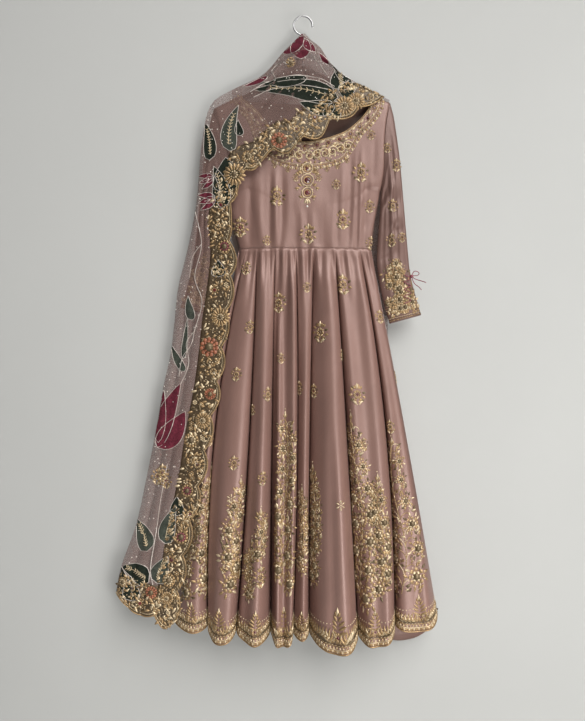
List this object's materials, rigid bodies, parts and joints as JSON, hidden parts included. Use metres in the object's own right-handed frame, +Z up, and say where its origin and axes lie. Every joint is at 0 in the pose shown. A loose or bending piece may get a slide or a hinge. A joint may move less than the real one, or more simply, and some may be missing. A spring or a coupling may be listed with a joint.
{
  "type": "salwar kameez on a hanger",
  "caption": "Floor-length flared satin kameez with full sleeves and a net dupatta with a scalloped border, hung on a coat hanger.",
  "frame": {"origin": "inside top of the hanger's hook, where it hangs on a nail or rail", "axes": "+Z up, X across the garment, -Y the side that the front faces"},
  "size_m": [0.778, 0.1437, 1.543],
  "materials": {
    "satin": "dusty mauve satin with a soft sheen, gold thread and bead embroidery",
    "net": "sheer mauve net with applied leaves and tulips",
    "border": "net covered with dull gold thread, beads and stones",
    "hook": "bright steel wire",
    "hanger": "dark matte",
    "lace": "twisted maroon silk cord"
  },
  "bodies": {
    "root": {"skirt_front_1": "satin", "skirt_front_2": "satin", "skirt_front_3": "satin", "skirt_front_4": "satin", "skirt_front_5": "satin", "skirt_front_6": "satin", "skirt_front_7": "satin", "skirt_front_8": "satin", "skirt_back_1": "satin", "skirt_back_2": "satin", "skirt_back_3": "satin", "skirt_back_4": "satin", "skirt_back_5": "satin", "skirt_back_6": "satin", "bodice_front": "satin", "bodice_back": "satin", "sleeve_left": "satin", "sleeve_right": "satin", "dupatta_cowl": "net", "dupatta_chest_border": "border", "dupatta_fall": "net", "dupatta_fall_border": "border", "dupatta_end_border": "border", "dupatta_cowl_back": "net", "dupatta_behind": "net", "hanger_hook": "hook", "hanger_body": "hanger", "cuff_lace": "lace", "cuff_bow": "lace", "cuff_lace_end_upper": "lace", "cuff_lace_end_lower": "lace"}
  },
  "joints": []
}
